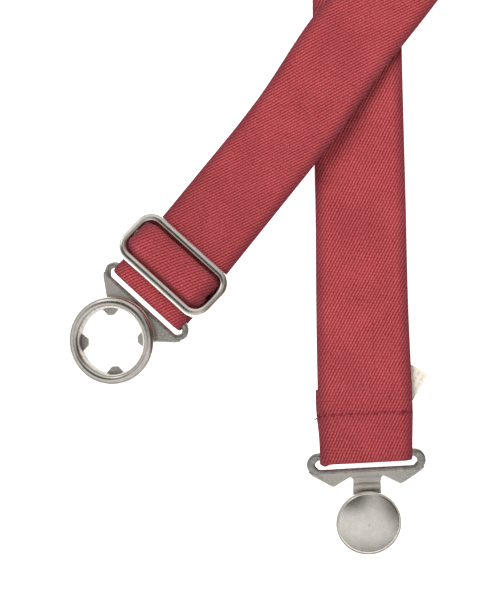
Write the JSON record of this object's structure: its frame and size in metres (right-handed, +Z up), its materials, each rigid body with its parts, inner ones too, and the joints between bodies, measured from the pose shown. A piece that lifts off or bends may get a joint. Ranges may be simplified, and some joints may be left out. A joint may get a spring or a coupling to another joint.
{
  "type": "suspenders",
  "caption": "Elastic Y-back suspenders with a leather patch, sliding adjusters, hinged ring clips and a hinged disc clip that presses into a ring, laid flat and folded at the shoulders.",
  "frame": {"origin": "on the table, under the middle of the whole folded set of suspenders", "axes": "+Y along the back strap, from its disc clip towards the back patch and the shoulder folds; +Z up from the table"},
  "size_m": [0.3924, 0.4656, 0.0224],
  "materials": {
    "webbing": "matt twill-woven elastic webbing",
    "thread": "matt sewing thread",
    "leather": "fine-grained satin leather",
    "label": "matt woven ribbon",
    "stamped_steel": "matt, faintly pitted, nickel plated",
    "polished_nickel": "polished nickel plate"
  },
  "bodies": {
    "root": {"strap_back": "webbing", "strap_right": "webbing", "strap_left": "webbing", "front_run_right": "webbing", "front_run_left": "webbing", "back_end_seam": "thread", "label_seam": "thread", "care_label": "label", "patch_under": "leather", "patch_top": "leather", "patch_stitching": "thread"},
    "loop_right": {"end_loop_right": "webbing", "return_layer_right": "webbing"},
    "slider_right": {"slider_frame_right": "polished_nickel", "slider_bar_right": "polished_nickel", "sewn_roll_right": "webbing", "strap_hump_right": "webbing", "roll_stitching_right": "thread"},
    "ring_clip_right": {"ring_plate_right": "stamped_steel", "ring_bezel_right": "polished_nickel"},
    "loop_left": {"end_loop_left": "webbing", "return_layer_left": "webbing"},
    "slider_left": {"slider_frame_left": "polished_nickel", "slider_bar_left": "polished_nickel", "sewn_roll_left": "webbing", "strap_hump_left": "webbing", "roll_stitching_left": "thread"},
    "ring_clip_left": {"ring_plate_left": "stamped_steel", "ring_bezel_left": "polished_nickel"},
    "disc_clip": {"disc_plate": "stamped_steel", "disc_cap": "polished_nickel"}
  },
  "joints": [
    {"name": "loop_right_slide", "type": "slide", "parent": "root", "child": "loop_right", "axis": [0.6064, 0.7903, -0.0872], "range_m": [0, 0.03], "deforming": ["front_run_right"]},
    {"name": "slider_right_slide", "type": "slide", "parent": "loop_right", "child": "slider_right", "axis": [0.6064, 0.7903, -0.0872], "range_m": [0, 0.03], "deforming": ["return_layer_right"]},
    {"name": "ring_clip_right_hinge", "type": "hinge", "parent": "loop_right", "child": "ring_clip_right", "pos_m": [-0.01782, -0.13724, 0.01309], "axis": [-0.7375, 0.6753, -0.0076], "range_deg": [-70, 90]},
    {"name": "loop_left_slide", "type": "slide", "parent": "root", "child": "loop_left", "axis": [0.4052, 0.9101, -0.0872], "range_m": [0, 0.03], "deforming": ["front_run_left"]},
    {"name": "slider_left_slide", "type": "slide", "parent": "loop_left", "child": "slider_left", "axis": [0.4052, 0.9101, -0.0872], "range_m": [0, 0.03], "deforming": ["return_layer_left"]},
    {"name": "ring_clip_left_hinge", "type": "hinge", "parent": "loop_left", "child": "ring_clip_left", "pos_m": [-0.17042, -0.16974, 0.01309], "axis": [-0.9135, 0.4067, 0], "range_deg": [-70, 90]},
    {"name": "disc_clip_hinge", "type": "hinge", "parent": "root", "child": "disc_clip", "pos_m": [0.06158, -0.19674, 0.01471], "axis": [-0.9986, -0.0523, 0], "range_deg": [-70, 100]}
  ],
  "couplings": [
    {"joint": "slider_right_slide", "follows": "loop_right_slide", "ratio": 1},
    {"joint": "slider_left_slide", "follows": "loop_left_slide", "ratio": 1}
  ]
}
